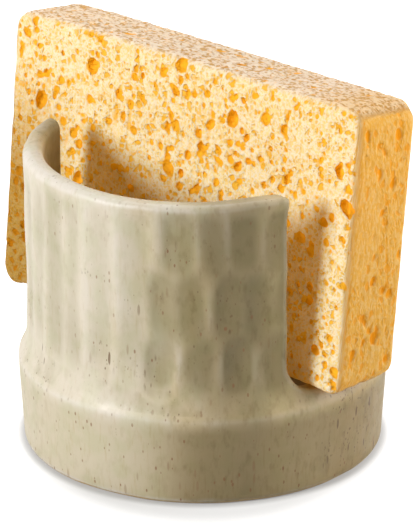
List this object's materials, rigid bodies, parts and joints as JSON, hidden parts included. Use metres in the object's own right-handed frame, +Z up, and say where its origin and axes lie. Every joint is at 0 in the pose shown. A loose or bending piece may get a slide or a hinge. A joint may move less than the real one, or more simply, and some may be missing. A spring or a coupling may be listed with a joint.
{
  "type": "sponge holder",
  "caption": "Round speckled stoneware sponge holder: fluted walls on a low dish, facing each other across an open slot in which a cellulose sponge stands and lifts out.",
  "frame": {"origin": "centre of the holder's flat underside, where it stands on the counter", "axes": "+Z up along the holder's axis, X along the slot and the sponge's length, -Y towards the front wall"},
  "size_m": [0.1182, 0.0912, 0.0952],
  "materials": {
    "glazed_stoneware": "satin speckled glaze",
    "cellulose_sponge": "porous, matte"
  },
  "bodies": {
    "holder": {"base_dish": "glazed_stoneware", "front_wall": "glazed_stoneware", "rear_wall": "glazed_stoneware"},
    "sponge": {"sponge": "cellulose_sponge"}
  },
  "joints": [
    {"name": "sponge_lift", "type": "slide", "parent": "holder", "child": "sponge", "axis": [0, 0.0993, 0.9951], "range_m": [0, 0.06]}
  ]
}
